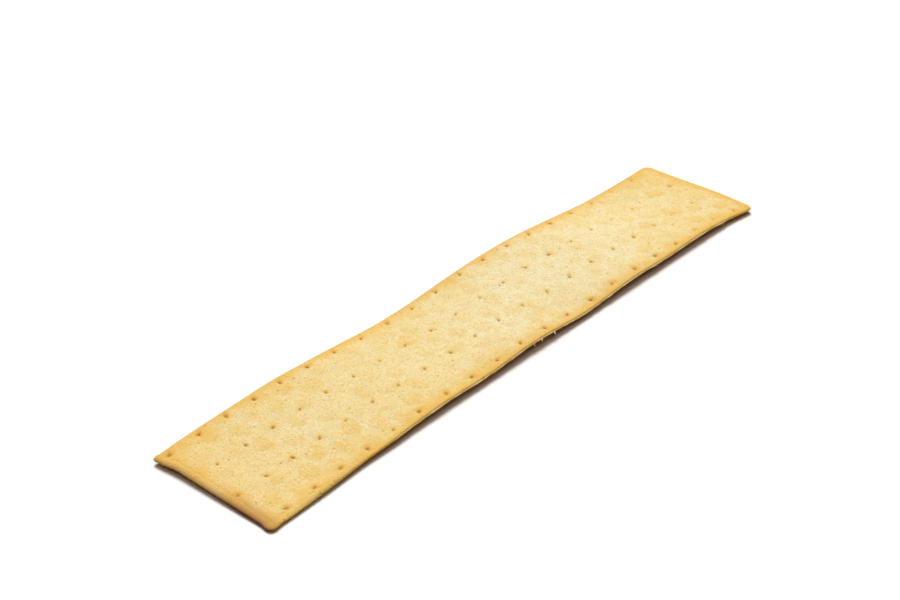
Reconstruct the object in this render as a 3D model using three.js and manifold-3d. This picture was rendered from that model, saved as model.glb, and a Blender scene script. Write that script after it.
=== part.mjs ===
// A crispy flatbread: one long, thin strip of docked dough that warped as it baked.
// Millimetres, +Z up. +X runs along the strip, and +Y across it to the edge that lifts most.
// The origin is the middle of the strip's footprint, on the surface that it lies on.

import * as THREE from 'three';
import { mergeVertices } from 'three/addons/utils/BufferGeometryUtils.js';
import Module from 'manifold-3d';

// The strip
const LENGTH = 249.1;
const WIDTH = 46;
const THICKNESS = 2.2;
const CRUST = { color: 0xebcf8f, roughness: 0.85, metalness: 0 };

// The rim: its widest level, the waist, stands out from the borders of the two faces by a round.
// That is wide at the near end and round the front corner from it, and dies away over the sweep
// to the cut front edge. The corner radii are those of the faces' borders.
const NEAR_ROUND = 2.3;
const EDGE_ROUND = 0.5;
const CUT_ROUND = 0.7;
const CUT_SWEEP = 48;
const CORNER_RADII = { near: { front: 0.5, back: 0.4 }, far: { front: 1.6, back: 2.5 } };
const WAIST = 1.45;
const NEAR_WAIST = { front: 0.95, back: 1.15 };

// The faces roll off towards the rim, and the top thins towards the near front corner
const TOP_ROLL = { drop: 0.12, width: 1 };
const BASE_ROLL = { drop: 1.15, nearDrop: 0.3, width: 3 };
const CORNER_THINNING = { drop: 0.5, reach: 24 };

// The warp: each swell lifts one long edge off the table and dies away across the strip.
// A swell's reach is half its length, and FLAT_SHARE of the half width beyond it stays down.
const BACK = 1;
const FRONT = -1;
const FLAT_SHARE = 0.07;
const SWELLS = [
  { edge: BACK, centre: -79.5, reach: 112, lift: 4.6 },
  { edge: BACK, centre: 31.5, reach: 70, lift: 4.6 },
  { edge: BACK, centre: -124.5, reach: 50, lift: -0.55 },
  { edge: FRONT, centre: -124.5, reach: 20, lift: 0.45 },
  { edge: FRONT, centre: -19.5, reach: 95, lift: 1.3 },
  { edge: FRONT, centre: 69.5, reach: 47, lift: 1.05 },
];

// Bows swing a long edge in the plan, along and across
const BOWS = [
  { edge: BACK, centre: -124.5, reach: 50, along: 0.72, across: 0.57 },
  { edge: BACK, centre: -75, reach: 18, along: 0, across: 0.35 },
  { edge: BACK, centre: -22, reach: 40, along: 0, across: -0.5 },
  { edge: BACK, centre: 110, reach: 35, along: 0, across: -0.6 },
  { edge: FRONT, centre: -124.5, reach: 20, along: -0.88, across: -0.47 },
  { edge: FRONT, centre: -113, reach: 38, along: -0.5, across: -1.3 },
  { edge: FRONT, centre: -73, reach: 14, along: 0, across: -0.3 },
  { edge: FRONT, centre: -19.5, reach: 95, along: 1.41, across: 0.89 },
  { edge: FRONT, centre: 69.5, reach: 47, along: 1.11, across: 0.64 },
];

// Pulls draw a corner out of true and let it drop
const NEAR = -1;
const FAR = 1;
const PULLS = [
  { end: NEAR, edge: BACK, reach: 10, along: -0.9, across: 0.45, drop: 0.75 },
  { end: NEAR, edge: FRONT, reach: 5, along: -0.9, across: -0.8, drop: 0.25 },
  { end: FAR, edge: FRONT, reach: 16, along: -0.8, across: -1.35, drop: 0 },
];

// From the start on, the cut front edge ripples down and out, dying away across by the power
const RIPPLE = { dip: 0.3, out: 0.16, start: -51, period: 49.5, power: 3 };

// The strip leans on the table: it rests on its near front and far back corners, where the
// baking flattened it, so what would be below the table is level with it.
const LEAN = { along: 0.0044, across: -0.024, down: 0.35 };

// The middle of the warped strip's footprint, which becomes the origin
const MIDDLE = { x: -0.6325, y: -0.1938 };

// Docks: pin pricks in staggered rows. Along a row, x is a cubic in the dock's number, because
// the dough drew back at its ends. Around DOCK_FADE the dough puffed and half closed them.
const DOCK_ROWS = 4;
const DOCK_ROW_SPACING = 13.35;
const DOCK_PITCH = 12.54;
const DOCK_MIDDLE = -6.9;
const DOCK_DRIFT = 0.0214;
const DOCK_CROWDING = 0.00383;
const DOCK_END_MARGIN = 2;
const DOCK_JITTER = 0.25;
const DOCK_FADE = { centre: 99.5, reach: 24, loss: 0.7 };
const DOCK_MOUTH_RADIUS = 1.4;
const DOCK_HOLE_RADIUS = 0.5;
const DOCK_FUNNEL_DEPTH = 0.25;
const DOCK_DEPTH = 0.6;
const DOCK_SIDES = 7;

// Blisters: low round swellings on a triangular lattice, over the holes of the baking band
const BLISTER_PITCH = 8.9;
const BLISTER_ORIGIN = { x: 0.35, y: -1 };
const BLISTER_RADIUS = 3.3;
const BLISTER_LIFT = 0.18;
const BLISTER_SPREAD = 0.5;

// The grid that the strip is made from: cells along, across and through it. Cells close up
// towards the rim by EDGE_CROWDING, the more sharply the higher EDGE_POWER is.
const CELLS_ALONG = 84;
const CELLS_ACROSS = 16;
const CELLS_THROUGH = 4;
const EDGE_CROWDING = 0.08;
const EDGE_POWER = 8;

const { clamp, lerp, smoothstep } = THREE.MathUtils;

// A fixed pseudo-random share from 0 to 1 for a pair of whole numbers
function share(a, b) {
  const wave = Math.sin(a * 12.9898 + b * 78.233) * 43758.5453;
  return wave - Math.floor(wave);
}

// A smooth hump: 1 at the middle, 0 from one reach away
function hump(offset, reach) {
  return Math.cos((Math.PI / 2) * Math.min(Math.abs(offset) / reach, 1)) ** 2;
}

// What several moves, each with its own share at a place, add up to
function total(moves, shareOf, amount) {
  return moves.reduce((sum, move) => sum + move[amount] * shareOf(move), 0);
}

// How much of what happens at a long edge reaches y: 1 at that edge, 0 at the other
function side(edge, y) {
  return clamp((1 + (edge * y) / ((WIDTH / 2) * (1 - FLAT_SHARE))) / 2, 0, 1);
}

// The share at a place of a swell or a bow, and of a pull
function shareOfEdge(x, y) {
  return ({ edge, centre, reach }) => side(edge, y) * hump(x - centre, reach);
}
function shareOfCorner(x, y) {
  return ({ end, edge, reach }) =>
    hump(Math.hypot(x - (end * LENGTH) / 2, y - (edge * WIDTH) / 2), reach);
}

// The share at a place of the front edge's ripple, from 0 on a crest to 2 in a trough
function ripple(x, y) {
  const turn = (2 * Math.PI * Math.max(x - RIPPLE.start, 0)) / RIPPLE.period;
  return (1 - Math.cos(turn)) * side(FRONT, y) ** RIPPLE.power;
}

// How far the underside stands off the table
function warp(x, y) {
  const swells = total(SWELLS, shareOfEdge(x, y), 'lift');
  const drops = total(PULLS, shareOfCorner(x, y), 'drop') + RIPPLE.dip * ripple(x, y);
  const lean = LEAN.along * x + LEAN.across * y - LEAN.down;
  return Math.max(swells + lean - drops, 0);
}

// Where a place in the flat sheet lies in the plan of the warped strip
function swing(x, y) {
  const [edgeShare, cornerShare] = [shareOfEdge(x, y), shareOfCorner(x, y)];
  const along = total(BOWS, edgeShare, 'along') + total(PULLS, cornerShare, 'along');
  const across = total(BOWS, edgeShare, 'across') + total(PULLS, cornerShare, 'across');
  return [x + along - MIDDLE.x, y + across - RIPPLE.out * ripple(x, y) - MIDDLE.y];
}

// How whole the baked edge is: 1 at the near end, dying away along the strip to 0
function whole(x) {
  return 1 - smoothstep(x, -LENGTH / 2, CUT_SWEEP - LENGTH / 2);
}

// The rim's round at the end that x lies towards, and at the long edge that y lies towards
function endRound(x) {
  return x < 0 ? NEAR_ROUND : EDGE_ROUND;
}
function sideRound(x, y) {
  return y < 0 ? lerp(CUT_ROUND, NEAR_ROUND, whole(x)) : EDGE_ROUND;
}

// How far a place on a face is past the middle of its corner's arc, and the arc's radius
function pastCorner(x, y) {
  const radius = CORNER_RADII[x < 0 ? 'near' : 'far'][y < 0 ? 'front' : 'back'];
  const px = Math.abs(x) - (LENGTH / 2 - endRound(x) - radius);
  const py = Math.abs(y) - (WIDTH / 2 - sideRound(x, y) - radius);
  return { px, py, radius, inCorner: px > 0 && py > 0 };
}

// Distance in from a face's border
function inwardOf(x, y) {
  const { px, py, radius, inCorner } = pastCorner(x, y);
  return Math.max(radius - (inCorner ? Math.hypot(px, py) : Math.max(px, py)), 0);
}

// How far a face has rolled off at a distance in from its border
function rollOff(inward, drop, width) {
  return drop * (1 - Math.min(inward / width, 1)) ** 2;
}

// The lift of the blister nearest to a place on the top
function blister(x, y) {
  const columnSpacing = (BLISTER_PITCH * Math.sqrt(3)) / 2;
  const nearest = Math.round((x - BLISTER_ORIGIN.x) / columnSpacing);
  let lift = 0;
  for (const column of [nearest - 1, nearest, nearest + 1]) {
    const stagger = column % 2 === 0 ? 0 : BLISTER_PITCH / 2;
    const row = Math.round((y - BLISTER_ORIGIN.y - stagger) / BLISTER_PITCH);
    const dx = x - BLISTER_ORIGIN.x - column * columnSpacing;
    const dy = y - BLISTER_ORIGIN.y - stagger - row * BLISTER_PITCH;
    const strength = 1 - BLISTER_SPREAD * share(column, row);
    lift = Math.max(lift, strength * hump(Math.hypot(dx, dy), BLISTER_RADIUS));
  }
  return BLISTER_LIFT * lift;
}

// Levels of the top, the waist and the base above the warp
function levels(x, y) {
  const inward = inwardOf(x, y);
  const thinning = CORNER_THINNING.drop
    * hump(Math.hypot(x + LENGTH / 2, y + WIDTH / 2), CORNER_THINNING.reach);
  const baseDrop = lerp(BASE_ROLL.drop, BASE_ROLL.nearDrop, whole(x));
  const nearWaist = lerp(NEAR_WAIST.front, NEAR_WAIST.back, side(BACK, y));
  return {
    top: THICKNESS - thinning - rollOff(inward, TOP_ROLL.drop, TOP_ROLL.width),
    crown: blister(x, y) * Math.min(inward / BASE_ROLL.width, 1),
    waist: lerp(WAIST, nearWaist, whole(x)),
    base: rollOff(inward, baseDrop, BASE_ROLL.width),
  };
}

// Moves a share from -1 to 1 towards the nearer end, so that cells are finer there
function crowdToEdge(t) {
  return t * (1 + EDGE_CROWDING * (1 - Math.abs(t) ** EDGE_POWER));
}

// A place on a face: u along and v across it, each from -1 to 1. Each corner square of the
// face is drawn in to a quarter disc.
function placeOnFace(u, v) {
  const x = crowdToEdge(u) * (LENGTH / 2 - endRound(u));
  const y = crowdToEdge(v) * (WIDTH / 2 - sideRound(x, v));
  const { px, py, inCorner } = pastCorner(x, y);
  if (!inCorner) return [x, y];
  const loss = 1 - Math.max(px, py) / Math.hypot(px, py);
  return [x - Math.sign(x) * px * loss, y - Math.sign(y) * py * loss];
}

// The direction straight out from a face's border at a place on it
function outward(u, v, x, y) {
  const { px, py, inCorner } = pastCorner(x, y);
  const far = Math.hypot(px, py);
  if (inCorner) return [(Math.sign(x) * px) / far, (Math.sign(y) * py) / far];
  return Math.abs(u) === 1 ? [u, 0] : [0, v];
}

// A place in the strip: u along, v across and w through it, each from -1 to 1. Between the
// borders of the faces, the rim is two quarter ellipses that meet at the waist.
function placeInStrip(u, v, w) {
  const [x, y] = placeOnFace(u, v);
  const { top, crown, waist, base } = levels(x, y);
  const z = warp(x, y) + waist + w * (w > 0 ? top - waist : waist - base);
  if (Math.abs(w) === 1) return new THREE.Vector3(...swing(x, y), w > 0 ? z + crown : z);
  const [ox, oy] = outward(u, v, x, y);
  const reach = (endRound(x) * ox ** 2 + sideRound(x, y) * oy ** 2) * Math.sqrt(1 - w ** 2);
  return new THREE.Vector3(...swing(x + ox * reach, y + oy * reach), z);
}

const wasm = await Module();
wasm.setup();

// A closed geometry as a solid that can be cut, without the slivers at a lathe's poles
function solidOf(geometry) {
  const corners = geometry.index.array;
  const triangles = [];
  for (let i = 0; i < corners.length; i += 3) {
    const [a, b, c] = corners.slice(i, i + 3);
    if (a !== b && b !== c && c !== a) triangles.push(a, b, c);
  }
  return new wasm.Manifold(new wasm.Mesh({
    numProp: 3,
    vertProperties: geometry.attributes.position.array,
    triVerts: new Uint32Array(triangles),
  }));
}

// A geometry whose neighbouring faces share their corners
function welded(geometry) {
  geometry.deleteAttribute('normal');
  geometry.deleteAttribute('uv');
  return mergeVertices(geometry);
}

// The whole strip before docking: a box of cells with every corner moved into place
function bareStrip() {
  const geometry = welded(
    new THREE.BoxGeometry(2, 2, 2, CELLS_ALONG, CELLS_ACROSS, CELLS_THROUGH),
  );
  const corners = geometry.attributes.position;
  for (let i = 0; i < corners.count; i += 1) {
    const place = placeInStrip(corners.getX(i), corners.getY(i), corners.getZ(i));
    corners.setXYZ(i, place.x, place.y, place.z);
  }
  return solidOf(geometry);
}

// A dock's x from its number, counted from the middle of its row
function dockAlong(number) {
  return DOCK_MIDDLE + DOCK_PITCH * number + DOCK_DRIFT * number ** 2 - DOCK_CROWDING * number ** 3;
}

// Every dock: its place on the top face and how deep it is as a share of DOCK_DEPTH
function dockPlaces() {
  const places = [];
  const most = Math.ceil(LENGTH / DOCK_PITCH / 2) + 1;
  for (let row = 0; row < DOCK_ROWS; row += 1) {
    const rowY = ((DOCK_ROWS - 1) / 2 - row) * DOCK_ROW_SPACING;
    const stagger = row % 2 === 0 ? 0.5 : 0;
    for (let column = -most; column <= most; column += 1) {
      const rowX = dockAlong(column + stagger);
      if (Math.abs(rowX) < LENGTH / 2 - DOCK_END_MARGIN) {
        const x = rowX + DOCK_JITTER * (2 * share(column, row) - 1);
        const y = rowY + DOCK_JITTER * (2 * share(column, row + DOCK_ROWS) - 1);
        const depth = 1 - DOCK_FADE.loss * hump(rowX - DOCK_FADE.centre, DOCK_FADE.reach);
        places.push({ x, y, depth });
      }
    }
  }
  return places;
}

// The pin that pricks one dock: a pointed hole under a funnel that runs on above the face
function dockPin({ x, y, depth }) {
  const flare = (DOCK_MOUTH_RADIUS - DOCK_HOLE_RADIUS) / DOCK_FUNNEL_DEPTH;
  const profile = [
    new THREE.Vector2(0, -DOCK_DEPTH),
    new THREE.Vector2(DOCK_HOLE_RADIUS, -DOCK_FUNNEL_DEPTH),
    new THREE.Vector2(DOCK_MOUTH_RADIUS + flare * DOCK_FUNNEL_DEPTH, DOCK_FUNNEL_DEPTH),
    new THREE.Vector2(0, DOCK_FUNNEL_DEPTH),
  ];
  const pin = new THREE.LatheGeometry(profile, DOCK_SIDES);
  pin.rotateX(Math.PI / 2);
  pin.scale(1, 1, depth);
  pin.translate(...swing(x, y), warp(x, y) + levels(x, y).top);
  return solidOf(welded(pin));
}

// The strip with its docks cut, as one mesh
function flatbread() {
  const docked = dockPlaces().reduce((bread, place) => bread.subtract(dockPin(place)), bareStrip());
  const { vertProperties, triVerts } = docked.getMesh();
  const geometry = new THREE.BufferGeometry();
  geometry.setAttribute('position', new THREE.BufferAttribute(vertProperties, 3));
  geometry.setIndex(new THREE.BufferAttribute(triVerts, 1));
  geometry.computeVertexNormals();
  const mesh = new THREE.Mesh(geometry, new THREE.MeshStandardMaterial(CRUST));
  mesh.name = 'flatbread';
  return mesh;
}

const part = new THREE.Group();
part.name = 'crispy_flatbread';
part.add(flatbread());

export default part;
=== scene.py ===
"""The looks of a crispy flatbread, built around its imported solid.

Sizes are in millimetres and become metres when a mesh or a material is made. +X runs along
the strip, +Y across it to the edge that lifts most, and +Z up from the table, as in the solid.
"""

from __future__ import annotations

import logging
import math
from dataclasses import dataclass, field
from enum import Enum

import bpy
import numpy as np
from mathutils import Matrix, Vector


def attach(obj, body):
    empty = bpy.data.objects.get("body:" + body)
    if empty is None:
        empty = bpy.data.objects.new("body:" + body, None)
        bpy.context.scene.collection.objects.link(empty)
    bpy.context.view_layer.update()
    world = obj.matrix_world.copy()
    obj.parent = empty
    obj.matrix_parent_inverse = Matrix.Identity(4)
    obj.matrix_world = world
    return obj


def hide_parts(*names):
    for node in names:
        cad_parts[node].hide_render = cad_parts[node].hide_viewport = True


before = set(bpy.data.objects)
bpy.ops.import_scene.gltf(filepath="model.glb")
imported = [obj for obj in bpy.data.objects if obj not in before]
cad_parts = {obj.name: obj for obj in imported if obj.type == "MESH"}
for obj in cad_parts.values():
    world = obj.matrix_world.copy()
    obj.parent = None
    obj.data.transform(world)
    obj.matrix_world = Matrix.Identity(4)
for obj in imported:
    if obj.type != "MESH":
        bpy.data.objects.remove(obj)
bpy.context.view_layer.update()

MM = 0.001
NODE = "flatbread"
BODY = "root"
IMAGE_WIDTH_PX = 900
SENSOR_MM = 36.0

log = logging.getLogger("flatbread")


# Shared formulas


def share(a: np.ndarray, b: np.ndarray) -> np.ndarray:
    """A fixed pseudo-random share from 0 to 1: the fraction of a large sine of two numbers.

    Args:
        a: first whole number, or an array of them.
        b: second whole number, or an array of them.

    Returns:
        One share for each pair.
    """
    wave = np.sin(a * 12.9898 + b * 78.233) * 43758.5453
    return wave - np.floor(wave)


def hump(offset: np.ndarray, reach: float) -> np.ndarray:
    """A smooth hump, the squared cosine of a quarter turn: 1 in the middle, 0 from reach on.

    Args:
        offset: distance from the middle.
        reach: distance at which the hump has died away.

    Returns:
        The hump's height, from 0 to 1.
    """
    return np.cos(math.pi / 2 * np.minimum(np.abs(offset) / reach, 1)) ** 2


def soft_step(t: np.ndarray) -> np.ndarray:
    """The cubic 3t^2 - 2t^3 from 0 to 1, held flat outside that range.

    Args:
        t: where along the step, 0 at its foot and 1 at its top.

    Returns:
        The step's height, from 0 to 1.
    """
    t = np.clip(t, 0, 1)
    return t * t * (3 - 2 * t)


def cloud(x: np.ndarray, y: np.ndarray, size: float, seed: int) -> np.ndarray:
    """Smooth noise: random values at the corners of square cells, blended by soft steps.

    Args:
        x: places along.
        y: places across.
        size: side of a cell, in the unit of x and y.
        seed: picks one of many unlike clouds.

    Returns:
        Noise from -1 to 1.
    """
    cell_x, cell_y = np.floor(x / size), np.floor(y / size)
    blend_x, blend_y = soft_step(x / size - cell_x), soft_step(y / size - cell_y)
    seed_x, seed_y = cell_x + 17 * seed, cell_y + 31 * seed
    low = share(seed_x, seed_y) * (1 - blend_y) + share(seed_x, seed_y + 1) * blend_y
    high = share(seed_x + 1, seed_y) * (1 - blend_y) + share(seed_x + 1, seed_y + 1) * blend_y
    return 2 * (low * (1 - blend_x) + high * blend_x) - 1


@dataclass(frozen=True)
class Cloud:
    """One layer of smooth noise: the side of its cells, its seed and its strength."""

    size: float
    seed: int
    strength: float


def clouds(x: np.ndarray, y: np.ndarray, layers: tuple[Cloud, ...]) -> np.ndarray:
    """The sum of some layers of smooth noise.

    Args:
        x: places along.
        y: places across.
        layers: the layers to add.

    Returns:
        Noise around 0, at most as far off as the strengths together.
    """
    return sum(c.strength * cloud(x, y, c.size, c.seed) for c in layers)


def linear(colour: str) -> tuple[float, float, float, float]:
    """Turn an sRGB hex colour to the linear values that a shader takes.

    Args:
        colour: "#rrggbb".

    Returns:
        Linear red, green and blue, and an alpha of 1.
    """
    parts = [int(colour[i : i + 2], 16) / 255 for i in (1, 3, 5)]
    red, green, blue = (p / 12.92 if p <= 0.04045 else ((p + 0.055) / 1.055) ** 2.4 for p in parts)
    return red, green, blue, 1.0


def add_node(tree: bpy.types.NodeTree, kind: str, settings: dict, inputs: dict) -> bpy.types.Node:
    """Add a shader node with its settings and links.

    Args:
        tree: the material's or world's node tree.
        kind: the node's type name.
        settings: properties of the node itself.
        inputs: a value, or a socket to link from, for each input by name or number.

    Returns:
        The new node.
    """
    made = tree.nodes.new(kind)
    for name, value in settings.items():
        setattr(made, name, value)
    for name, value in inputs.items():
        if isinstance(value, bpy.types.NodeSocket):
            tree.links.new(value, made.inputs[name])
        else:
            made.inputs[name].default_value = value
    return made


def add_piece(name: str, points: np.ndarray, faces: list[list[int]]) -> bpy.types.Object:
    """Make a piece of the bread that rides on the part's body.

    Args:
        name: the piece's name.
        points: its points in millimetres.
        faces: point numbers of each face.

    Returns:
        The piece, at the origin.
    """
    mesh = bpy.data.meshes.new(name)
    mesh.from_pydata((points * MM).tolist(), [], faces)
    piece = bpy.data.objects.new(name, mesh)
    bpy.context.scene.collection.objects.link(piece)
    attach(piece, BODY)
    return piece


# The forms of the strip


class Edge(Enum):
    """A long edge of the strip, by the sign of its y."""

    BACK = 1
    FRONT = -1


class End(Enum):
    """An end of the strip, by the sign of its x."""

    NEAR = -1
    FAR = 1


class Mark(Enum):
    """What a point of the mesh tells the finish, from 0 to 1. The value names the attribute."""

    BROWNING = "browning"
    TOAST = "toast"
    BLISTER = "blister"
    DOCK = "dock"
    HALO = "halo"
    NEAR_BROWN_AND_SHADE = "brown_and_shade"
    PALE_LIT_LIP = "lip"
    GROOVE = "groove"
    BASE = "base"


@dataclass(frozen=True)
class Swell:
    """One long, low lift of an edge off the table: its middle, half length and height."""

    edge: Edge
    centre: float
    reach: float
    lift: float


@dataclass(frozen=True)
class Bow:
    """One swing of an edge in the plan: its middle, half length, and how far along and across."""

    edge: Edge
    centre: float
    reach: float
    along: float
    across: float


@dataclass(frozen=True)
class Pull:
    """A corner drawn out of true: where it lies, its reach, and how far it has moved."""

    end: End
    edge: Edge
    reach: float
    along: float
    across: float
    drop: float


@dataclass(frozen=True)
class Warp:
    """How the baked sheet departs from a flat strip.

    Swells lift its long edges off the table, bows swing them in the plan and pulls draw its
    corners. It leans, and its cut front edge ripples down and out from the ripple's start on.
    """

    length: float
    width: float
    flat_share: float = 0.07
    swells: tuple[Swell, ...] = (
        Swell(Edge.BACK, -79.5, 112, 4.6),
        Swell(Edge.BACK, 31.5, 70, 4.6),
        Swell(Edge.BACK, -124.5, 50, -0.55),
        Swell(Edge.FRONT, -124.5, 20, 0.45),
        Swell(Edge.FRONT, -19.5, 95, 1.3),
        Swell(Edge.FRONT, 69.5, 47, 1.05),
    )
    bows: tuple[Bow, ...] = (
        Bow(Edge.BACK, -124.5, 50, 0.72, 0.57),
        Bow(Edge.FRONT, -124.5, 20, -0.88, -0.47),
        Bow(Edge.BACK, -75, 18, 0.0, 0.35),
        Bow(Edge.BACK, -22, 40, 0.0, -0.5),
        Bow(Edge.BACK, 110, 35, 0.0, -0.6),
        Bow(Edge.FRONT, -113, 38, -0.5, -1.3),
        Bow(Edge.FRONT, -73, 14, 0.0, -0.3),
        Bow(Edge.FRONT, -19.5, 95, 1.41, 0.89),
        Bow(Edge.FRONT, 69.5, 47, 1.11, 0.64),
    )
    pulls: tuple[Pull, ...] = (
        Pull(End.NEAR, Edge.BACK, 10, -0.9, 0.45, 0.75),
        Pull(End.NEAR, Edge.FRONT, 5, -0.9, -0.8, 0.25),
        Pull(End.FAR, Edge.FRONT, 16, -0.8, -1.35, 0.0),
    )
    lean_along: float = 0.0044
    lean_across: float = -0.024
    lean_down: float = 0.35
    ripple_dip: float = 0.3
    ripple_out: float = 0.16
    ripple_start: float = -51.0
    ripple_period: float = 49.5
    ripple_power: int = 3
    middle: tuple[float, float] = (-0.6325, -0.1938)

    def side(self, edge: Edge, y: np.ndarray) -> np.ndarray:
        """Share of what happens at an edge that reaches y: 1 at the edge, 0 at the other one."""
        return np.clip((1 + edge.value * y / (self.width / 2 * (1 - self.flat_share))) / 2, 0, 1)

    def corner(self, pull: Pull, x: np.ndarray, y: np.ndarray) -> np.ndarray:
        """Share of a pull that reaches a place: a hump of the distance from its corner."""
        end, edge = pull.end.value * self.length / 2, pull.edge.value * self.width / 2
        return hump(np.hypot(x - end, y - edge), pull.reach)

    def ripple(self, x: np.ndarray, y: np.ndarray) -> np.ndarray:
        """1 less a cosine along x, dying away across as a power of the front edge's share."""
        turn = 2 * math.pi * np.maximum(x - self.ripple_start, 0) / self.ripple_period
        return (1 - np.cos(turn)) * self.side(Edge.FRONT, y) ** self.ripple_power

    def height(self, x: np.ndarray, y: np.ndarray) -> np.ndarray:
        """Humps along x that die away evenly across, and a sloping plane, less the dips and drops.

        Args:
            x: places along the sheet.
            y: places across it.

        Returns:
            Height of the underside above the table, nowhere below it.
        """
        swells = sum(s.lift * self.side(s.edge, y) * hump(x - s.centre, s.reach) for s in self.swells)
        lean = self.lean_along * x + self.lean_across * y - self.lean_down
        drops = sum(p.drop * self.corner(p, x, y) for p in self.pulls)
        dips = self.ripple_dip * self.ripple(x, y)
        return np.maximum(swells + lean - drops - dips, 0)

    def place(self, points: np.ndarray) -> np.ndarray:
        """Move points by the bows, pulls and ripple, and the footprint's middle to the origin.

        Args:
            points: rows of x and y in the sheet, and z.

        Returns:
            The points in the part.
        """
        x, y, z = points.T
        shares = [self.side(b.edge, y) * hump(x - b.centre, b.reach) for b in self.bows]
        shares += [self.corner(p, x, y) for p in self.pulls]
        moves = [*self.bows, *self.pulls]
        along = sum(m.along * s for m, s in zip(moves, shares))
        across = sum(m.across * s for m, s in zip(moves, shares))
        across = across - self.ripple_out * self.ripple(x, y)
        return np.stack([x + along - self.middle[0], y + across - self.middle[1], z], axis=1)


@dataclass(frozen=True)
class Outline:
    """The sheet's plan: a long rectangle with round corners.

    The borders of the two faces stay in from the widest part of the rim by its round. That is
    wide at the near end and round the front corner from it, dying away to a cut edge.
    """

    length: float
    width: float
    near_round: float = 2.3
    edge_round: float = 0.5
    cut_round: float = 0.7
    cut_sweep: float = 48.0
    near_front_radius: float = 0.5
    near_back_radius: float = 0.4
    far_front_radius: float = 1.6
    far_back_radius: float = 2.5
    crowding: float = 0.08
    crowding_power: int = 8

    def end_round(self, x: np.ndarray) -> np.ndarray:
        """The rim's round at the end that x lies towards."""
        return np.where(x < 0, self.near_round, self.edge_round)

    def whole(self, x: np.ndarray) -> np.ndarray:
        """How whole the baked edge is: 1 at the near end, dying away along the strip to 0."""
        return 1 - soft_step((x + self.length / 2) / self.cut_sweep)

    def side_round(self, x: np.ndarray, y: np.ndarray) -> np.ndarray:
        """The rim's round at the long edge that y lies towards, level with x."""
        front = self.cut_round + (self.near_round - self.cut_round) * self.whole(x)
        return np.where(y < 0, front, self.edge_round)

    def past_corner(self, x: np.ndarray, y: np.ndarray) -> tuple[np.ndarray, np.ndarray, np.ndarray]:
        """Where places lie from the middle of their corner's arc.

        Args:
            x: places along.
            y: places across.

        Returns:
            How far they are past it along and across, and the arc's radius.
        """
        front = np.where(x < 0, self.near_front_radius, self.far_front_radius)
        back = np.where(x < 0, self.near_back_radius, self.far_back_radius)
        radius = np.where(y < 0, front, back)
        past_x = np.abs(x) - (self.length / 2 - self.end_round(x) - radius)
        past_y = np.abs(y) - (self.width / 2 - self.side_round(x, y) - radius)
        return past_x, past_y, radius

    def grid(self, along: int, across: int) -> tuple[np.ndarray, np.ndarray]:
        """A grid over a face, finer towards the rim, each corner square drawn to a quarter disc.

        A share t of the way from the middle is moved to t (1 + crowding (1 - t^power)).

        Args:
            along: cells along the strip.
            across: cells across it.

        Returns:
            x and y of the grid's points, along first.
        """
        a, b = np.meshgrid(np.linspace(-1, 1, along + 1), np.linspace(-1, 1, across + 1), indexing="ij")
        a, b = (t * (1 + self.crowding * (1 - np.abs(t) ** self.crowding_power)) for t in (a, b))
        x = a * (self.length / 2 - self.end_round(a))
        y = b * (self.width / 2 - self.side_round(x, b))
        past_x, past_y, _ = (np.maximum(past, 0) for past in self.past_corner(x, y))
        pull = np.maximum(past_x, past_y) / np.maximum(np.hypot(past_x, past_y), 1e-9)
        pull = np.where((past_x > 0) & (past_y > 0), pull, 1.0)
        x = np.sign(x) * (np.abs(x) - past_x * (1 - pull))
        y = np.sign(y) * (np.abs(y) - past_y * (1 - pull))
        return x.ravel(), y.ravel()

    def inward(self, x: np.ndarray, y: np.ndarray) -> np.ndarray:
        """Distance in from a face's border: to the nearer side, or to the arc of a round corner.

        Args:
            x: places along.
            y: places across.

        Returns:
            The distance, 0 on the border.
        """
        past_x, past_y, radius = self.past_corner(x, y)
        to_side = radius - np.maximum(past_x, past_y)
        to_arc = radius - np.hypot(past_x, past_y)
        return np.maximum(np.where((past_x > 0) & (past_y > 0), to_arc, to_side), 0)


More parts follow.
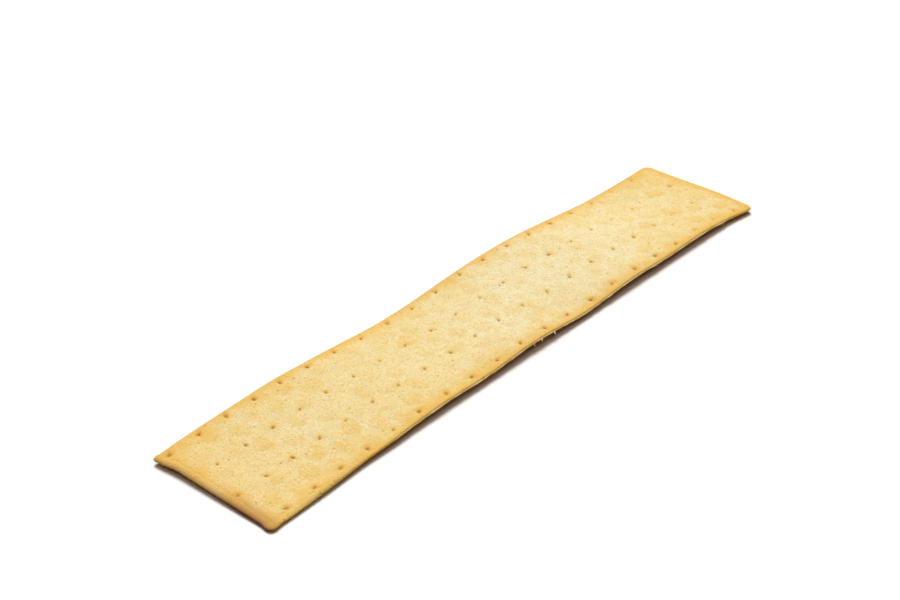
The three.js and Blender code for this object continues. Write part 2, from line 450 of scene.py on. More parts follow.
@dataclass(frozen=True)
class Docks:
    """Pin pricks in staggered rows, closer together towards the ends, half closed near one."""

    outline: Outline
    rows: int = 4
    row_spacing: float = 13.35
    pitch: float = 12.54
    middle: float = -6.9
    drift: float = 0.0214
    crowding: float = 0.00383
    end_margin: float = 2.0
    jitter: float = 0.25
    fade_centre: float = 99.5
    fade_reach: float = 24.0
    fade_loss: float = 0.7
    mouth_radius: float = 1.5
    hole_radius: float = 0.5
    funnel_depth: float = 0.09
    depth: float = 0.46
    funnel_power: float = 1.5
    hole_flare: float = 1.3
    brim: float = 0.03
    brim_width: float = 0.4
    oval: float = 0.18
    lobed: float = 0.1
    least_size: float = 0.8
    size_spread: float = 0.4
    least_depth: float = 0.75
    depth_spread: float = 0.5
    least_mark: float = 0.4
    hole_shift: tuple[float, float] = (-0.12, -0.1)
    halo_shift: tuple[float, float] = (0.45, 0.36)
    halo_radius: float = 2.0
    rim_spread: float = 0.5
    gather_reach: float = 3.2
    gather_power: float = 1.45

    def places(self) -> np.ndarray:
        """Every dock: x is a cubic in its number along the row, y its row, each a little off.

        Returns:
            Rows of x, y and depth share.
        """
        most = math.ceil(self.outline.length / self.pitch / 2) + 1
        column, row = np.meshgrid(np.arange(-most, most + 1), np.arange(self.rows))
        number = column + np.where(row % 2 == 0, 0.5, 0.0)
        x = self.middle + self.pitch * number + self.drift * number**2 - self.crowding * number**3
        y = ((self.rows - 1) / 2 - row) * self.row_spacing
        depth = 1 - self.fade_loss * hump(x - self.fade_centre, self.fade_reach)
        kept = np.abs(x) < self.outline.length / 2 - self.end_margin
        x = x + self.jitter * (2 * share(column, row) - 1)
        y = y + self.jitter * (2 * share(column, row + self.rows) - 1)
        return np.stack([x[kept], y[kept], depth[kept]], axis=1)

    def nearest(self, x: np.ndarray, y: np.ndarray) -> tuple[np.ndarray, np.ndarray, np.ndarray]:
        """Find each place's nearest dock.

        Args:
            x: places along.
            y: places across.

        Returns:
            Offset from the dock along, offset across, and the dock's number.
        """
        docks = self.places()
        number = np.argmin(np.hypot(x[:, None] - docks[:, 0], y[:, None] - docks[:, 1]), axis=1)
        return x - docks[number, 0], y - docks[number, 1], number

    def gather(self, x: np.ndarray, y: np.ndarray) -> tuple[np.ndarray, np.ndarray]:
        """Draw grid points in towards the docks: a distance r becomes R (r / R)^power within R.

        R is the gather reach, or the dock's distance from the border where that is less.

        Args:
            x: grid points along.
            y: grid points across.

        Returns:
            The moved points.
        """
        docks = self.places()
        dx, dy, number = self.nearest(x, y)
        reach = np.minimum(self.gather_reach, self.outline.inward(docks[:, 0], docks[:, 1]))[number]
        pull = np.clip(np.hypot(dx, dy) / reach, 1e-6, 1) ** (self.gather_power - 1)
        return docks[number, 0] + dx * pull, docks[number, 1] + dy * pull

    def relief(self, x: np.ndarray, y: np.ndarray) -> tuple[np.ndarray, np.ndarray, np.ndarray]:
        """A pricked hole under a shallow funnel with a faint brim, all a little out of round.

        The hole lies a little to the front of the mouth and a golden halo to the back, where the
        funnel's back wall is in shade: browning and painted shade. Docks by the rim are drawn wider.

        Args:
            x: places along.
            y: places across.

        Returns:
            Height to add to the top face, and how near a dock's hole and its halo's middle each
            place is, 0 to 1.
        """
        dx, dy, number = self.nearest(x, y)
        turn = np.arctan2(dy, dx)
        two, three = 2 * math.pi * share(number, 7), 2 * math.pi * share(number, 11)
        round_off = 1 + self.oval * np.sin(2 * turn + two) + self.lobed * np.sin(3 * turn + three)
        docks = self.places()
        by_rim = 1 - self.outline.inward(docks[:, 0], docks[:, 1])[number] / self.gather_reach
        size = self.least_size + self.size_spread * share(number, 13)
        size = size * (1 + self.rim_spread * np.maximum(by_rim, 0))
        middles = ((0.0, 0.0), self.hole_shift, self.halo_shift)
        r, r_hole, r_halo = (np.hypot(dx - a, dy - b) / (round_off * size) for a, b in middles)
        depth = docks[number, 2] * (self.least_depth + self.depth_spread * share(number, 17))
        funnel = self.funnel_depth * np.maximum(1 - r / self.mouth_radius, 0) ** self.funnel_power
        hole = soft_step((self.hole_radius * self.hole_flare - r_hole) / self.hole_radius)
        hole = (self.depth - self.funnel_depth) * hole
        brim = self.brim * np.exp(-(((r - self.mouth_radius) / self.brim_width) ** 2))
        strength = self.least_mark + (1 - self.least_mark) * np.minimum(depth, 1)
        near = np.maximum(1 - r_hole / self.mouth_radius, 0) * strength
        halo = np.maximum(1 - r_halo / self.halo_radius, 0) * strength
        return depth * (brim - funnel - hole), near, halo


@dataclass(frozen=True)
class Blisters:
    """Low round swellings on a triangular lattice, over the holes of the baking band."""

    pitch: float = 8.9
    origin_x: float = 0.35
    origin_y: float = -1.0
    radius: float = 3.3
    lift: float = 0.18
    spread: float = 0.5
    edge_width: float = 1.3
    wobble: tuple[Cloud, ...] = (Cloud(2.6, 13, 0.28), Cloud(1.2, 14, 0.28))
    golden_share: float = 0.7
    patches: tuple[Cloud, ...] = (Cloud(1.7, 15, 0.3),)
    least_golden: float = 0.15

    def rounds(self, x: np.ndarray, y: np.ndarray) -> tuple[np.ndarray, np.ndarray]:
        """The nearest blister's hump and its golden round, from three columns of the lattice.

        Args:
            x: places along.
            y: places across.

        Returns:
            Share of a full blister's height, and how golden each place is, both 0 between them.
        """
        spacing = self.pitch * math.sqrt(3) / 2
        nearest = np.round((x - self.origin_x) / spacing)
        humps, tints = [], []
        reach = self.radius * (1 + clouds(x, y, self.wobble))
        patchy = self.golden_share + clouds(x, y, self.patches)
        for column in (nearest - 1, nearest, nearest + 1):
            stagger = np.where(column % 2 == 0, 0.0, self.pitch / 2)
            row = np.round((y - self.origin_y - stagger) / self.pitch)
            dx = x - self.origin_x - column * spacing
            dy = y - self.origin_y - stagger - row * self.pitch
            strength = 1 - self.spread * share(column, row)
            r = np.hypot(dx, dy)
            humps.append(strength * hump(r, self.radius))
            draw = share(column + 5, row + 3)
            golden = patchy * (self.least_golden + (1 - self.least_golden) * draw)
            tints.append(golden * soft_step((reach - r) / self.edge_width + 0.5))
        return np.max(humps, axis=0), np.max(tints, axis=0)


@dataclass
class Patch:
    """Points of one stretch of the surface, and its marks; a mark left out is 0 all over."""

    points: np.ndarray
    marks: dict[Mark, np.ndarray]

    def mark(self, mark: Mark) -> np.ndarray:
        """One mark's value at every point."""
        return self.marks.get(mark, np.zeros(len(self.points)))


@dataclass
class Flatbread:
    """The strip itself: a docked top, a rim with a torn lip, and a browned underside."""

    length: float = 249.1
    width: float = 46.0
    thickness: float = 2.2
    top_roll: tuple[float, float] = (0.12, 1.0)
    base_roll: tuple[float, float] = (1.15, 3.0)
    near_base_roll: float = 0.3
    waist: float = 1.45
    near_front_waist: float = 0.95
    near_back_waist: float = 1.15
    corner_thinning: float = 0.5
    corner_reach: float = 24.0
    cells_along: int = 520
    cells_across: int = 100
    rim_rings: int = 24
    crumple: tuple[Cloud, ...] = (Cloud(22.0, 5, 0.08), Cloud(7.0, 6, 0.05), Cloud(2.4, 7, 0.03))
    # Tones at the rim: painted shade over browner crust at the near end and round its front corner, and
    # a darker band behind
    near_rim_brown_and_shade: float = 0.45
    corner_brown_and_shade: float = 0.36
    corner_brown_and_shade_width: float = 1.9
    corner_brown_and_shade_start: float = 0.4
    near_brown_and_shade_width: float = 4.0
    back_darkening: float = 0.2
    back_darkening_width: float = 1.2
    base_brown: float = 0.58
    base_pale: float = 0.2
    base_patches: tuple[Cloud, ...] = (Cloud(6.0, 11, 0.12),)
    base_waves: tuple[Cloud, ...] = (Cloud(5.0, 9, 1.0),)
    base_hollows: float = 0.5
    base_border: float = 6.0
    brown_width: float = 3.0
    brown_tail: float = 6.5
    brown_tail_share: float = 0.48
    blotches: tuple[Cloud, ...] = (Cloud(6.0, 3, 0.5), Cloud(2.3, 4, 0.3))
    toast_clouds: tuple[Cloud, ...] = (Cloud(14.0, 8, 0.3), Cloud(7.0, 9, 0.25))
    pale_middle: float = 36.0
    pale_reach: float = 100.0
    lip_start: float = -77.5
    lip_end: float = 116.5
    lip_fade: float = 12.0
    torn_in: float = 0.15
    lip_out: float = 0.2
    lip_level: float = 0.05
    lip_height: float = 0.22
    # Where the lip's pale band lies: torn crumb, and painted light on the shaded front side
    pale_lip_level: float = 0.15
    pale_lip_height: float = 0.45
    pale_lip_share: float = 0.75
    pale_lip_patches: tuple[Cloud, ...] = (Cloud(4.0, 23, 0.3), Cloud(1.1, 24, 0.3))
    ragged: tuple[Cloud, ...] = (Cloud(0.9, 21, 0.6), Cloud(2.6, 22, 0.5))
    torn_facing: float = 0.7
    near_rim_shade_power: float = 0.6
    base_level: float = -0.25
    groove_depth: float = 0.06
    groove_level: float = 0.7
    groove_height: float = 0.12
    outline: Outline = field(init=False)
    warp: Warp = field(init=False)
    docks: Docks = field(init=False)
    blisters: Blisters = field(init=False)

    def __post_init__(self) -> None:
        """Make the outline, warp, docks and blisters that share this strip's size."""
        self.outline = Outline(self.length, self.width)
        self.warp = Warp(self.length, self.width)
        self.docks = Docks(self.outline)
        self.blisters = Blisters()

    def base_rise(self, x: np.ndarray, y: np.ndarray) -> np.ndarray:
        """The underside's roll up to the rim: the square of what is left of the roll's width."""
        drop, width = self.base_roll
        drop = drop + (self.near_base_roll - drop) * self.outline.whole(x)
        return drop * np.maximum(1 - self.outline.inward(x, y) / width, 0) ** 2

    def waist_level(self, x: np.ndarray, y: np.ndarray) -> np.ndarray:
        """The rim's widest level above the underside: lower at the near end, lowest at its front."""
        rise = (self.near_back_waist - self.near_front_waist) * self.warp.side(Edge.BACK, y)
        near = self.near_front_waist + rise
        return self.waist + (near - self.waist) * self.outline.whole(x)

    def top_fall(self, x: np.ndarray, y: np.ndarray) -> np.ndarray:
        """The top's fall: a slight roll-off all round, and a hump of thinning at the near front."""
        drop, width = self.top_roll
        corner = hump(np.hypot(x + self.length / 2, y + self.width / 2), self.corner_reach)
        roll = drop * np.maximum(1 - self.outline.inward(x, y) / width, 0) ** 2
        return self.corner_thinning * corner + roll

    def browning(self, x: np.ndarray, y: np.ndarray) -> np.ndarray:
        """Browner towards the rim: a bell and a long tail of the distance in, blotched by clouds.

        The distances to the side and to the end add as inverses, so corners brown more.

        Args:
            x: places along.
            y: places across.

        Returns:
            How far each place has browned, 0 to 1.
        """
        to_end = np.maximum(self.length / 2 - np.abs(x), 1e-3)
        to_side = np.maximum(self.width / 2 - np.abs(y), 1e-3)
        inward = 1 / (1 / to_end + 1 / to_side) / (1 + clouds(x, y, self.blotches))
        bell = (1 - self.brown_tail_share) * np.exp(-((inward / self.brown_width) ** 2))
        return bell + self.brown_tail_share * np.exp(-inward / self.brown_tail)

    def darker_behind(self, x: np.ndarray, y: np.ndarray) -> np.ndarray:
        """A narrow darker band along the back edge and the far end: a bell of the distance in."""
        inward = np.minimum(self.width / 2 - y, self.length / 2 - x)
        return self.back_darkening * np.exp(-((inward / self.back_darkening_width) ** 2))

    def near_brown_and_shade_bell(self, x: np.ndarray) -> np.ndarray:
        """Painted warm shade and browner crust at the near end: a bell of the distance from it."""
        return np.exp(-(((x + self.length / 2) / self.near_brown_and_shade_width) ** 2))

    def corner_shade_and_brown(self, x: np.ndarray, y: np.ndarray) -> np.ndarray:
        """Painted shade and browner crust at the near front corner: a bell of the distance in."""
        inward = x + self.length / 2 - self.outline.near_round
        bell = np.exp(-((np.maximum(inward, 0) / self.corner_brown_and_shade_width) ** 2))
        forward = 2 * (self.warp.side(Edge.FRONT, y) - self.corner_brown_and_shade_start)
        return self.corner_brown_and_shade * bell * soft_step(forward)

    def toast(self, x: np.ndarray, y: np.ndarray) -> np.ndarray:
        """Toasted all over but for a pale stretch, a hump along x, made uneven by clouds."""
        toasted = 1 - hump(x - self.pale_middle, self.pale_reach)
        return np.clip(toasted + clouds(x, y, self.toast_clouds), 0, 1)

    def top(self) -> Patch:
        """The top face: warp, thickness and roll-off, with blisters, crumples and docks on it."""
        x, y = self.docks.gather(*self.outline.grid(self.cells_along, self.cells_across))
        calm = np.minimum(self.outline.inward(x, y) / self.base_roll[1], 1)
        dome, golden = self.blisters.rounds(x, y)
        hollow, dock, halo = self.docks.relief(x, y)
        z = self.warp.height(x, y) + self.thickness - self.top_fall(x, y)
        z += self.blisters.lift * dome * calm + hollow
        z += clouds(x, y, self.crumple) * calm
        marks = {
            Mark.BROWNING: self.browning(x, y),
            Mark.TOAST: self.toast(x, y),
            Mark.BLISTER: golden,
            Mark.DOCK: dock,
            Mark.HALO: halo,
            Mark.NEAR_BROWN_AND_SHADE: self.near_brown_and_shade_bell(x),
            # Painted shade over browner crust round the near front corner, and a darker band behind, in
            # the underside's dark brown
            Mark.BASE: np.maximum(self.darker_behind(x, y), self.corner_shade_and_brown(x, y)),
        }
        return Patch(np.stack([x, y, z], axis=1), marks)

    def base(self) -> Patch:
        """The underside: the warp with the rim rolled up and the blisters as shallow hollows.

        It browned on the baking band, most towards its border and less in the hollows over the
        band's holes, with clouds.
        """
        x, y = self.outline.grid(self.cells_along // 2, self.cells_across // 2)
        dome, golden = self.blisters.rounds(x, y)
        calm = np.minimum(self.outline.inward(x, y) / self.base_roll[1], 1)
        z = self.warp.height(x, y) + self.base_rise(x, y)
        waves = dome + (1 + clouds(x, y, self.base_waves)) / 2
        z += self.base_hollows * self.blisters.lift * waves * calm
        border = np.exp(-self.outline.inward(x, y) / self.base_border)
        brown = self.base_brown - self.base_pale * dome + clouds(x, y, self.base_patches)
        brown = np.clip(brown + (1 - brown) * border, 0, 1)
        marks = {
            Mark.BROWNING: self.browning(x, y),
            Mark.TOAST: self.toast(x, y),
            Mark.BLISTER: golden,
            Mark.BASE: brown,
        }
        return Patch(np.stack([x, y, z], axis=1), marks)

    @staticmethod
    def border(along: int, across: int) -> np.ndarray:
        """Numbers of a grid's outer points, anticlockwise from the near front corner.

        Args:
            along: cells along the grid.
            across: cells across it.

        Returns:
            The numbers, once round.
        """
        number = np.arange((along + 1) * (across + 1)).reshape(along + 1, across + 1)
        return np.concatenate([number[:-1, 0], number[-1, :-1], number[:0:-1, -1], number[0, :0:-1]])

    def rim(self, upper: np.ndarray, lower: np.ndarray) -> Patch:
        """Rings from the top's border down to the underside's: two quarter ellipses carried round.

        Their outward reach is the outline's round times the cosine of an angle that turns from
        straight up to straight down. A groove is cut in and a ragged lip pushed out.

        Args:
            upper: the top face's border points.
            lower: points under them, at the underside's border.

        Returns:
            The rings between the two borders, top ring first.
        """
        heading = np.roll(upper, -1, axis=0)[:, :2] - np.roll(upper, 1, axis=0)[:, :2]
        heading /= np.linalg.norm(heading, axis=1, keepdims=True)
        outward = np.stack([heading[:, 1], -heading[:, 0]], axis=1)
        x, y = upper[:, 0], upper[:, 1]
        started = soft_step((x - self.lip_start) / self.lip_fade)
        ended = soft_step((self.lip_end - x) / self.lip_fade)
        torn = np.where(outward[:, 1] < -self.torn_facing, started * ended, 0)
        angle = math.pi / 2 - math.pi * np.arange(1, self.rim_rings) / self.rim_rings
        level = np.sin(angle)[:, None]
        groove = torn * np.exp(-(((level - self.groove_level) / self.groove_height) ** 2))
        lip = torn * np.exp(-(((level - self.lip_level) / self.lip_height) ** 2))
        # Pale torn crumb on the lip, painted paler still as painted light on the front side that faces
        # away from the lamps
        pale_and_lit = torn * np.exp(-(((level - self.pale_lip_level) / self.pale_lip_height) ** 2))
        pale_and_lit = pale_and_lit * (self.pale_lip_share + clouds(x, y, self.pale_lip_patches))
        ends = self.outline.end_round(x) * outward[:, 0] ** 2
        sides = self.outline.side_round(x, y) * outward[:, 1] ** 2 * (1 - self.torn_in * torn)
        reach = (ends + sides) * np.cos(angle)[:, None]
        reach = reach - self.groove_depth * groove
        reach = reach + self.lip_out * lip * (1 + clouds(x, y, self.ragged))
        middle = self.warp.height(x, y) + self.waist_level(x, y)
        half = np.where(level > 0, upper[:, 2] - middle, middle - lower[:, 2])
        points = np.stack(
            [x + outward[:, 0] * reach, y + outward[:, 1] * reach, middle + half * level], axis=-1
        )
        # Painted shade over browned crust: the near end's rim darkens towards its foot, facing away
        # from the lamps
        near = np.where(outward[:, 0] < 0, outward[:, 0] ** 2, 0)
        below = 1 - np.maximum(level, 0)
        brown_and_shade = self.near_rim_brown_and_shade * near * below**self.near_rim_shade_power
        brown_and_shade = brown_and_shade + self.corner_shade_and_brown(x, y) * (1 + near * below)
        brown_and_shade = np.clip(np.maximum(brown_and_shade, self.darker_behind(x, y)), 0, 1)
        marks = {
            Mark.BROWNING: np.broadcast_to(self.browning(x, y), reach.shape),
            Mark.TOAST: np.broadcast_to(self.toast(x, y), reach.shape),
            Mark.NEAR_BROWN_AND_SHADE: np.broadcast_to(self.near_brown_and_shade_bell(x), reach.shape),
            Mark.PALE_LIT_LIP: pale_and_lit,
            Mark.GROOVE: groove,
            # The rim's lower part takes the underside's dark brown: browned crust, and painted shade
            # under the lip
            Mark.BASE: np.maximum(soft_step(self.base_level - level), brown_and_shade),
        }
        return Patch(points.reshape(-1, 3), {name: values.ravel() for name, values in marks.items()})

    def faces(self) -> list[list[int]]:
        """Quads over both faces and the rim, and triangles where the fine rim meets the coarse base.

        Returns:
            Point numbers of each face, turning so that it points outwards.
        """

        def quads(along: int, across: int, first: int, flip: bool) -> np.ndarray:
            """Faces of one grid, whose points start at a number."""
            number = np.arange((along + 1) * (across + 1)).reshape(along + 1, across + 1) + first
            corners = [number[:-1, :-1], number[1:, :-1], number[1:, 1:], number[:-1, 1:]]
            return np.stack(corners[::-1] if flip else corners, axis=-1).reshape(-1, 4)

        along, across = self.cells_along, self.cells_across
        top_count = (along + 1) * (across + 1)
        border = self.border(along, across)
        rings = top_count + np.arange((self.rim_rings - 1) * len(border)).reshape(-1, len(border))
        rings = np.vstack([border, rings])
        ring_next = np.roll(rings, -1, axis=1)
        sides = np.stack([rings[1:], ring_next[1:], ring_next[:-1], rings[:-1]], axis=-1).reshape(-1, 4)
        base_first = rings[-1, -1] + 1
        coarse = self.border(along // 2, across // 2) + base_first
        coarse_next = np.roll(coarse, -1)
        start, middle, end = rings[-1, ::2], rings[-1, 1::2], np.roll(rings[-1, ::2], -1)
        fans = np.concatenate(
            [
                np.stack([coarse, middle, start], axis=1),
                np.stack([coarse, coarse_next, middle], axis=1),
                np.stack([coarse_next, end, middle], axis=1),
            ]
        )
        top = quads(along, across, 0, flip=False)
        base = quads(along // 2, across // 2, base_first, flip=True)
        return np.concatenate([top, sides, base]).tolist() + fans.tolist()

    def build(self) -> bpy.types.Object:
        """Join the patches into one closed mesh that stands for the solid.

        Returns:
            The strip, with its marks as attributes.
        """
        top, base = self.top(), self.base()
        upper = top.points[self.border(self.cells_along, self.cells_across)]
        coarse = base.points[self.border(self.cells_along // 2, self.cells_across // 2)]
        lower = np.empty_like(upper)
        lower[::2] = coarse
        lower[1::2] = (coarse + np.roll(coarse, -1, axis=0)) / 2
        patches = [top, self.rim(upper, lower), base]
        points = self.warp.place(np.concatenate([p.points for p in patches]))
        strip = add_piece("docked_strip", points, self.faces())
        strip.data.shade_smooth()
        for mark in Mark:
            values = np.concatenate([p.mark(mark) for p in patches]).astype(np.float32)
            strip.data.attributes.new(mark.value, "FLOAT", "POINT").data.foreach_set("value", values)
        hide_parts(NODE)
        return strip

    def dress(self, strip: bpy.types.Object, finish: CrustFinish) -> None:
        """Give the strip its baked crust."""
        strip.data.materials.append(finish.material())


@dataclass
class EdgeCrumbs:
    """Splinters of torn crust that cling to the front lip."""

    bread: Flatbread
    seen_at: tuple[float, ...] = (-3.95, 0.75, 7.15, 63.55, 105.95)
    scattered: int = 26
    seen_length: float = 1.6
    scattered_length: float = 0.6
    slenderness: float = 0.28
    level: float = 1.5
    least_size: float = 0.7
    size_spread: float = 0.6
    swing_spread: float = 2.2
    least_dip: float = 0.1
    dip_spread: float = 0.35
    stand_out: float = 0.4

    def build(self) -> bpy.types.Object:
        """Scale, lean and place one eight-sided splinter for each crumb.

        Returns:
            All the crumbs as one mesh.
        """
        bread, number = self.bread, np.arange(len(self.seen_at) + self.scattered)
        seen = number < len(self.seen_at)
        spread = bread.lip_start + (bread.lip_end - bread.lip_start) * share(number, 41)
        along = np.where(seen, np.resize(self.seen_at, len(number)), spread)
        length = np.where(seen, self.seen_length, self.scattered_length)
        length = length * (self.least_size + self.size_spread * share(number, 42))
        tips = np.array([[1, 0, 0], [-1, 0, 0], [0, 1, 0], [0, -1, 0], [0, 0, 1], [0, 0, -1]], float)
        sides = np.array(
            [[0, 2, 4], [2, 1, 4], [1, 3, 4], [3, 0, 4], [2, 0, 5], [1, 2, 5], [3, 1, 5], [0, 3, 5]]
        )
        draw = share(np.arange(6)[None, :, None] + 6 * number[:, None, None], np.arange(3))
        uneven = self.least_size + self.size_spread * draw
        splinter = tips * uneven * length[:, None, None] / 2
        splinter[:, :, 1:] *= self.slenderness
        swing = (share(number, 43) - 0.5) * self.swing_spread - math.pi / 2
        dip = -self.least_dip - self.dip_spread * share(number, 44)
        level = np.cos(dip)
        ahead = np.stack([np.cos(swing) * level, np.sin(swing) * level, np.sin(dip)], axis=1)
        beside = np.stack([-np.sin(swing), np.cos(swing), np.zeros_like(swing)], axis=1)
        axes = np.stack([ahead, beside, np.cross(ahead, beside)], axis=1)
        front = np.full(len(number), -bread.width / 2)
        foot = np.stack([along, front, bread.warp.height(along, front) + self.level], axis=1)
        centre = bread.warp.place(foot) + ahead * length[:, None] * self.stand_out
        points = np.einsum("nvi,nij->nvj", splinter, axes) + centre[:, None]
        corners = (sides[None] + 6 * number[:, None, None]).reshape(-1, 3)
        return add_piece("edge_crumbs", points.reshape(-1, 3), corners.tolist())

    def dress(self, crumbs: bpy.types.Object, finish: CrumbFinish) -> None:
        """Give the crumbs the pale colour of torn dough."""
        crumbs.data.materials.append(finish.material())


# Finishes


class Pattern(Enum):
    """Noise that a finish draws by itself. The value is the size of its features in millimetres."""

    MOTTLE = 1.9
    GRAIN = 0.7
    FINE = 0.35


@dataclass(frozen=True)
class Layer:
    """A colour laid over those below it: none where its guide is low, up to strength where high.

    Another guide may hold it back, as a factor.
    """

    tint: str
    guide: Mark | Pattern
    low: float
    high: float
    strength: float
    held_by: Mark | Pattern | None = None


@dataclass(frozen=True)
class Specks:
    """Browned specks, one in each cell of a random mosaic, some fainter than others."""

    tint: str
    spacing_mm: float
    size_mm: float
    strength: float


@dataclass(frozen=True)
class CrustFinish:
    """Crisp crust of a thin unleavened dough, docked and baked dry on a perforated band.

    It is matt and floury: pale cream with golden rounds where the band was open, a browner rim,
    amber pin holes, fine grain and scattered brown specks. What browned is a little smoother.
    Painted shade darkens the rim's lower part, the near end and its front corner, the groove and
    the backs of the docks, and painted light makes the torn lip paler.
    """

    cream: str = "#e0d9ae"
    layers: tuple[Layer, ...] = (
        Layer("#dcca8a", Mark.TOAST, 0.0, 1.0, 0.75),
        Layer("#dabb64", Mark.BLISTER, 0.05, 0.85, 0.4),
        Layer("#dab65a", Mark.BLISTER, 0.05, 0.85, 0.6, held_by=Mark.TOAST),
        Layer("#dac177", Pattern.MOTTLE, 0.45, 0.75, 0.55),
        Layer("#f0ead2", Pattern.GRAIN, 0.5, 0.8, 0.7),
        Layer("#bd8e44", Pattern.FINE, 0.55, 0.75, 0.75),
        Layer("#dab048", Mark.BROWNING, 0.0, 1.0, 0.95),
        # Painted warm shade over browner crust: orange towards the near end
        Layer("#d89a3a", Mark.NEAR_BROWN_AND_SHADE, 0.0, 1.0, 0.25),
        # Browning and painted shade: a golden halo at the back of each dock, on the funnel's back wall
        Layer("#dab450", Mark.HALO, 0.1, 0.8, 0.5),
        Layer("#d6983a", Mark.HALO, 0.1, 0.8, 0.8, held_by=Mark.BROWNING),
        Layer("#aa802c", Mark.DOCK, 0.45, 0.85, 0.76),
        # Dark brown of the browned underside; on the rim's lower part, the near end and its front
        # corner it is also painted shade
        Layer("#86491a", Mark.BASE, 0.0, 1.0, 0.92),
        # Pale torn crumb of the lip, and painted light on the shaded front side
        Layer("#f4e2ae", Mark.PALE_LIT_LIP, 0.2, 0.8, 0.95),
        # Painted shade in the groove along the torn front edge
        Layer("#b98c48", Mark.GROOVE, 0.3, 0.9, 0.25),
    )
    specks: tuple[Specks, ...] = (
        Specks("#b07c38", 8.5, 0.75, 0.75),
        Specks("#b98438", 1.8, 0.45, 0.65),
    )
    relief_mm: tuple[tuple[Pattern, float], ...] = (
        (Pattern.MOTTLE, 0.12),
        (Pattern.GRAIN, 0.16),
        (Pattern.FINE, 0.15),
    )
    speck_edges: tuple[float, float] = (1.5, 0.5)
    detail: float = 2.0
    roughness: float = 0.86
    browned_roughness: float = 0.74
    specular: float = 0.3
    ior: float = 1.45

    def material(self) -> bpy.types.Material:
        """Lay each colour over the last by its guide, add the specks, and raise the grain.

        Returns:
            The crust.
        """
        made = bpy.data.materials.new("baked_crust")
        made.use_nodes = True
        tree = made.node_tree
        tree.nodes.clear()
        place = add_node(tree, "ShaderNodeTexCoord", {}, {}).outputs["Object"]
        guides = {}
        for mark in Mark:
            settings = {"attribute_name": mark.value}
            guides[mark] = add_node(tree, "ShaderNodeAttribute", settings, {}).outputs["Fac"]
        for pattern in Pattern:
            inputs = {"Vector": place, "Scale": 1 / (pattern.value * MM), "Detail": self.detail}
            guides[pattern] = add_node(tree, "ShaderNodeTexNoise", {}, inputs).outputs[0]
        ramp, product, over = (
            {"interpolation_type": "SMOOTHSTEP"},
            {"operation": "MULTIPLY"},
            {"data_type": "RGBA", "clamp_factor": True},
        )
        colour = linear(self.cream)
        for layer in self.layers:
            inputs = {0: guides[layer.guide], 1: layer.low, 2: layer.high, 3: 0.0, 4: layer.strength}
            amount = add_node(tree, "ShaderNodeMapRange", {}, inputs).outputs[0]
            if layer.held_by:
                inputs = {0: amount, 1: guides[layer.held_by]}
                amount = add_node(tree, "ShaderNodeMath", product, inputs).outputs[0]
            inputs = {0: amount, 6: colour, 7: linear(layer.tint)}
            colour = add_node(tree, "ShaderNodeMix", over, inputs).outputs[2]
        for specks in self.specks:
            inputs = {"Vector": place, "Scale": 1 / (specks.spacing_mm * MM)}
            cell = add_node(tree, "ShaderNodeTexVoronoi", {"voronoi_dimensions": "2D"}, inputs)
            radius = specks.size_mm / 2 / specks.spacing_mm
            outer, inner = (radius * edge for edge in self.speck_edges)
            inputs = {0: cell.outputs["Distance"], 1: outer, 2: inner, 3: 0.0, 4: specks.strength}
            spot = add_node(tree, "ShaderNodeMapRange", ramp, inputs).outputs[0]
            pick = add_node(tree, "ShaderNodeSeparateColor", {}, {0: cell.outputs["Color"]}).outputs[0]
            amount = add_node(tree, "ShaderNodeMath", product, {0: spot, 1: pick}).outputs[0]
            inputs = {0: amount, 6: colour, 7: linear(specks.tint)}
            colour = add_node(tree, "ShaderNodeMix", over, inputs).outputs[2]
        height = 0.0
        for pattern, rise in self.relief_mm:
            inputs = {0: guides[pattern], 1: rise, 2: height}
            height = add_node(tree, "ShaderNodeMath", {"operation": "MULTIPLY_ADD"}, inputs).outputs[0]
        bump = add_node(tree, "ShaderNodeBump", {}, {"Height": height, "Distance": MM})
        inputs = {0: guides[Mark.BROWNING], 3: self.roughness, 4: self.browned_roughness}
        dryness = add_node(tree, "ShaderNodeMapRange", {}, inputs)
        look = {
            "Base Color": colour,
            "Roughness": dryness.outputs[0],
            "Specular IOR Level": self.specular,
            "IOR": self.ior,
            "Normal": bump.outputs[0],
        }
        shader = add_node(tree, "ShaderNodeBsdfPrincipled", {}, look)
        add_node(tree, "ShaderNodeOutputMaterial", {}, {"Surface": shader.outputs[0]})
        return made


@dataclass(frozen=True)
class CrumbFinish:
    """Torn dough of the lip: paler than the crust, dry and matt, with a little golden grain."""

    pale: str = "#efe2ba"
    golden: str = "#dcbc78"
    grain_mm: float = 0.5
    roughness: float = 0.85
    ior: float = 1.45

    def material(self) -> bpy.types.Material:
        """Mix the two colours by fine noise.

        Returns:
            The torn dough.
        """
        made = bpy.data.materials.new("torn_dough")
        made.use_nodes = True
        tree = made.node_tree
        tree.nodes.clear()
        place = add_node(tree, "ShaderNodeTexCoord", {}, {}).outputs["Object"]
        inputs = {"Vector": place, "Scale": 1 / (self.grain_mm * MM)}
        grain = add_node(tree, "ShaderNodeTexNoise", {}, inputs)
        inputs = {0: grain.outputs[0], 6: linear(self.pale), 7: linear(self.golden)}
        colour = add_node(tree, "ShaderNodeMix", {"data_type": "RGBA"}, inputs).outputs[2]
        look = {"Base Color": colour, "Roughness": self.roughness, "IOR": self.ior}
        shader = add_node(tree, "ShaderNodeBsdfPrincipled", {}, look)
        add_node(tree, "ShaderNodeOutputMaterial", {}, {"Surface": shader.outputs[0]})
        return made


# The studio


@dataclass(frozen=True)
class Lamp:
    """A broad distant lamp: how high it stands, how wide it looks, its strength and its tint."""

    elevation: float
    angle: float
    strength: float
    tint: str


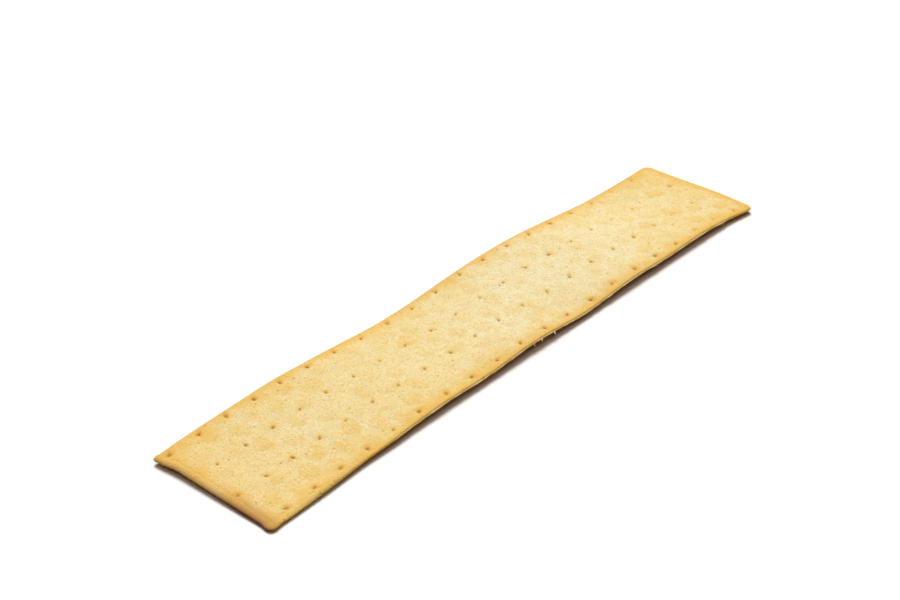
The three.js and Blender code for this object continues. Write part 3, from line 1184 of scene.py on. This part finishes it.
@dataclass
class Studio:
    """A white table, a soft key behind the bread, a broad lamp overhead, some fill, the camera."""

    table_mm: float = 8000.0
    table_white: str = "#ebebeb"
    table_roughness: float = 0.9
    lamp_azimuth: float = 142.0
    key: Lamp = Lamp(55.0, 34.0, 3.6, "#ffffff")
    overhead: Lamp = Lamp(80.0, 84.0, 1.08, "#fff4ea")
    fill_tint: str = "#ffad7c"
    fill_strength: float = 0.05
    camera_azimuth: float = -51.39
    camera_elevation: float = 31.06
    camera_roll: float = 1.445
    camera_distance: float = 678.07
    aim: tuple[float, float, float] = (-3.4105, 11.2688, 6.613)
    focal_px: float = 2085.6

    @staticmethod
    def direction(azimuth: float, elevation: float) -> Vector:
        """The direction to something seen at an azimuth and elevation, azimuth 0 being -Y.

        Args:
            azimuth: degrees round from -Y towards +X.
            elevation: degrees above the table.

        Returns:
            A unit vector.
        """
        a, e = math.radians(azimuth), math.radians(elevation)
        return Vector((math.sin(a) * math.cos(e), -math.cos(a) * math.cos(e), math.sin(e)))

    def table(self) -> bpy.types.Object:
        """A large flat sheet that the bread lies on."""
        half = self.table_mm * MM / 2
        mesh = bpy.data.meshes.new("table")
        corners = [(-half, -half, 0), (half, -half, 0), (half, half, 0), (-half, half, 0)]
        mesh.from_pydata(corners, [], [(0, 1, 2, 3)])
        made = bpy.data.materials.new("white_table")
        made.use_nodes = True
        shader = made.node_tree.nodes["Principled BSDF"]
        shader.inputs["Base Color"].default_value = linear(self.table_white)
        shader.inputs["Roughness"].default_value = self.table_roughness
        mesh.materials.append(made)
        table = bpy.data.objects.new("table", mesh)
        bpy.context.scene.collection.objects.link(table)
        return table

    def lights(self) -> None:
        """The key and the overhead lamp as broad distant lamps, and the fill as an even warm sky."""
        for name, lamp in (("key", self.key), ("overhead", self.overhead)):
            light = bpy.data.lights.new(name, "SUN")
            light.energy = lamp.strength
            light.color = linear(lamp.tint)[:3]
            light.angle = math.radians(lamp.angle)
            stand = bpy.data.objects.new(name, light)
            turn = self.direction(self.lamp_azimuth, lamp.elevation).to_track_quat("Z", "Y")
            stand.rotation_euler = turn.to_euler()
            bpy.context.scene.collection.objects.link(stand)
        world = bpy.data.worlds.new("studio")
        world.use_nodes = True
        world.node_tree.nodes["Background"].inputs["Color"].default_value = linear(self.fill_tint)
        world.node_tree.nodes["Background"].inputs["Strength"].default_value = self.fill_strength
        bpy.context.scene.world = world

    def camera(self) -> None:
        """The camera at the photograph's angle, rolled a little, looking at the aim point."""
        back = self.direction(self.camera_azimuth, self.camera_elevation)
        lens = bpy.data.cameras.new("camera")
        lens.sensor_width = SENSOR_MM
        lens.lens = self.focal_px / IMAGE_WIDTH_PX * SENSOR_MM
        lens.clip_start, lens.clip_end = 0.01, 50
        camera = bpy.data.objects.new("camera", lens)
        place = Matrix.Translation(Vector(self.aim) * MM + back * self.camera_distance * MM)
        turn = back.to_track_quat("Z", "Y").to_matrix().to_4x4()
        camera.matrix_world = place @ turn @ Matrix.Rotation(math.radians(self.camera_roll), 4, "Z")
        bpy.context.scene.collection.objects.link(camera)
        bpy.context.scene.camera = camera

    def build(self) -> None:
        """Set up table, lights, camera and a plain view transform."""
        self.table()
        self.lights()
        self.camera()
        bpy.context.scene.view_settings.view_transform = "Standard"


def main() -> None:
    """Build the bread, its crumbs and the studio."""
    logging.basicConfig(level=logging.INFO, format="%(name)s: %(message)s")
    bread = Flatbread()
    strip = bread.build()
    bread.dress(strip, CrustFinish())
    log.info("%s: %d faces", strip.name, len(strip.data.polygons))
    edge = EdgeCrumbs(bread)
    crumbs = edge.build()
    edge.dress(crumbs, CrumbFinish())
    log.info("%s: %d faces", crumbs.name, len(crumbs.data.polygons))
    Studio().build()


if __name__ == "__main__":
    main()
